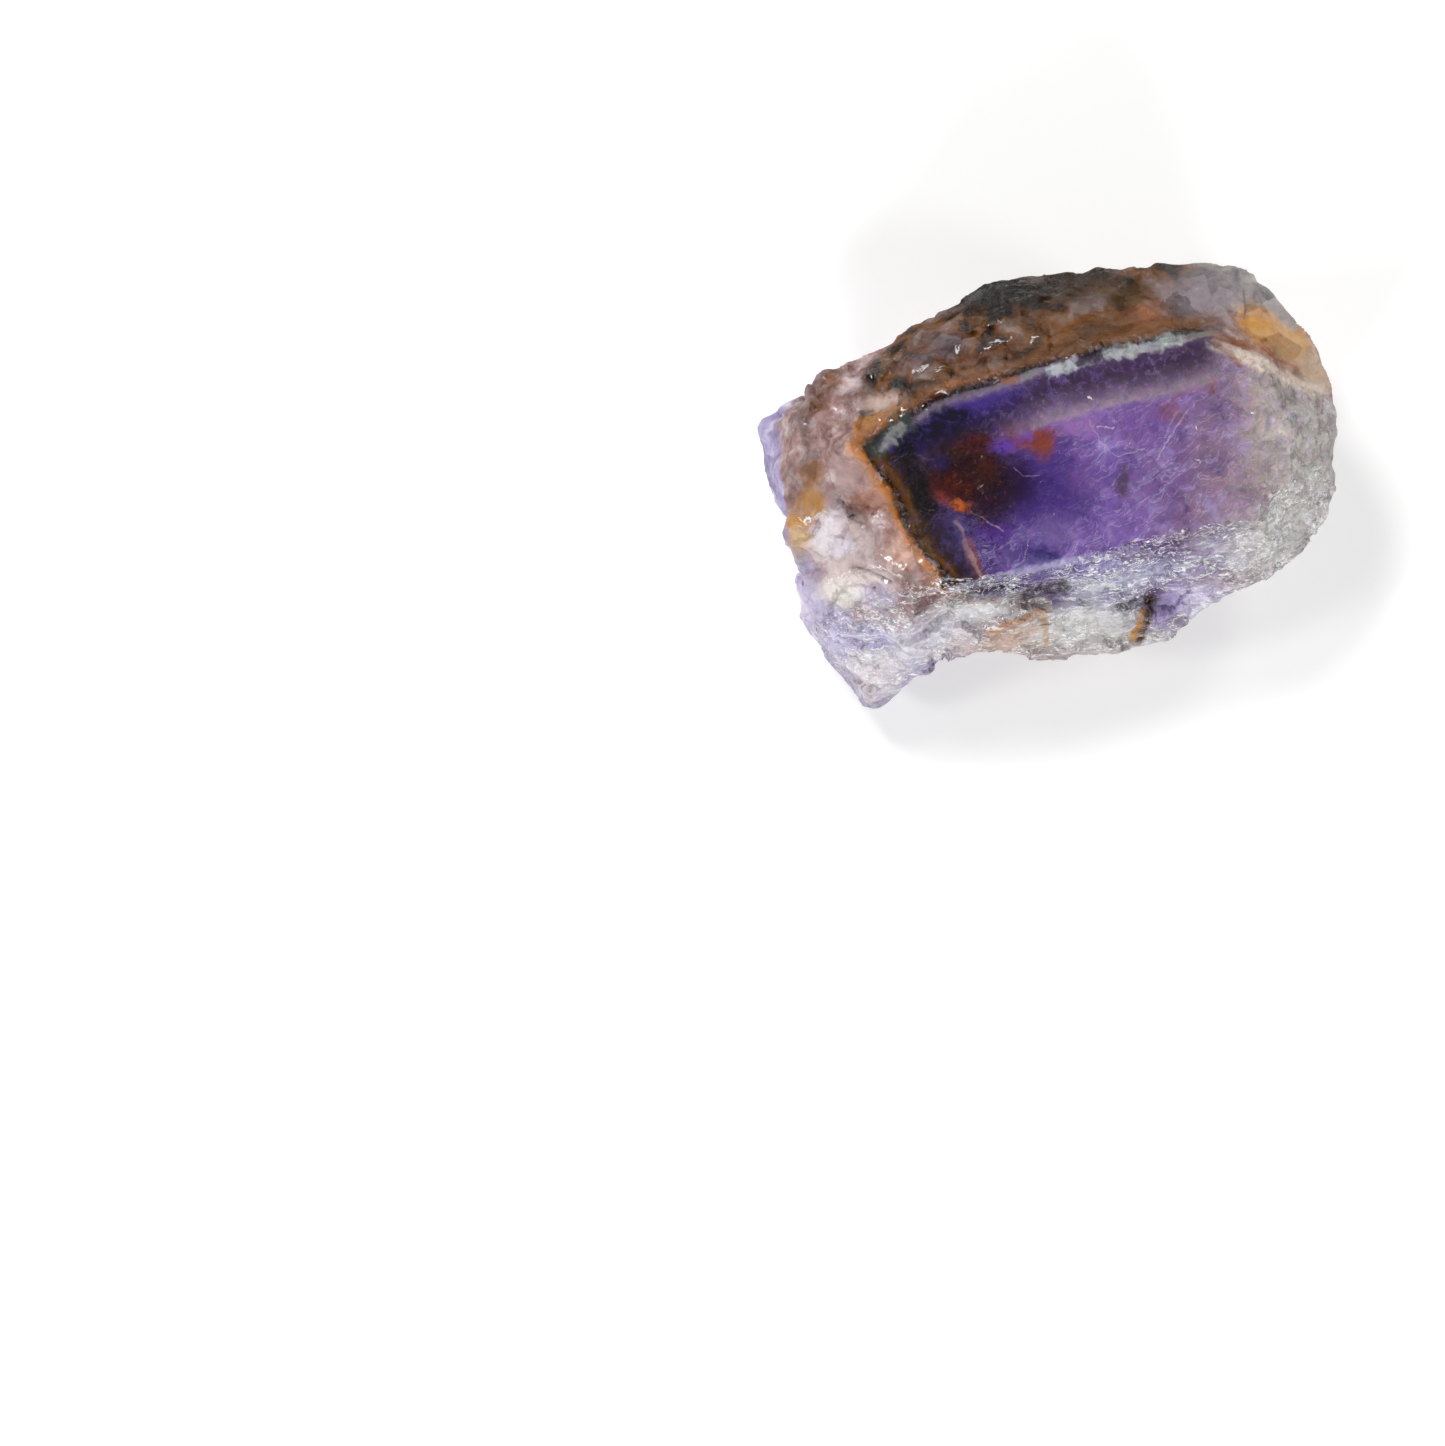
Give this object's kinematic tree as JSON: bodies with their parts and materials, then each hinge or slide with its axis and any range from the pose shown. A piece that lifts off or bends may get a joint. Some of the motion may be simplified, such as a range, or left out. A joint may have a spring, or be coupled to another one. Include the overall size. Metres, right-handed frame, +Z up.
{
  "type": "rough chevron amethyst chunk",
  "caption": "Palm-sized chunk of broken chevron amethyst: a nearly flat violet face crossed by a pale and ochre chevron, in greyish and lavender quartz.",
  "frame": {"origin": "centre of the bounding box, at the height of the surface that the stone lies on", "axes": "+Z up, out of the banded face; +X along the stone's length, from the chevron's tip towards the grey end; +Y across the banded face, towards the brown slope"},
  "size_m": [0.0582, 0.0448, 0.0304],
  "materials": {
    "amethyst": "translucent broken quartz, glassy on the chips and hackly on the lower slope"
  },
  "bodies": {
    "root": {"amethyst_chunk": "amethyst"}
  },
  "joints": []
}
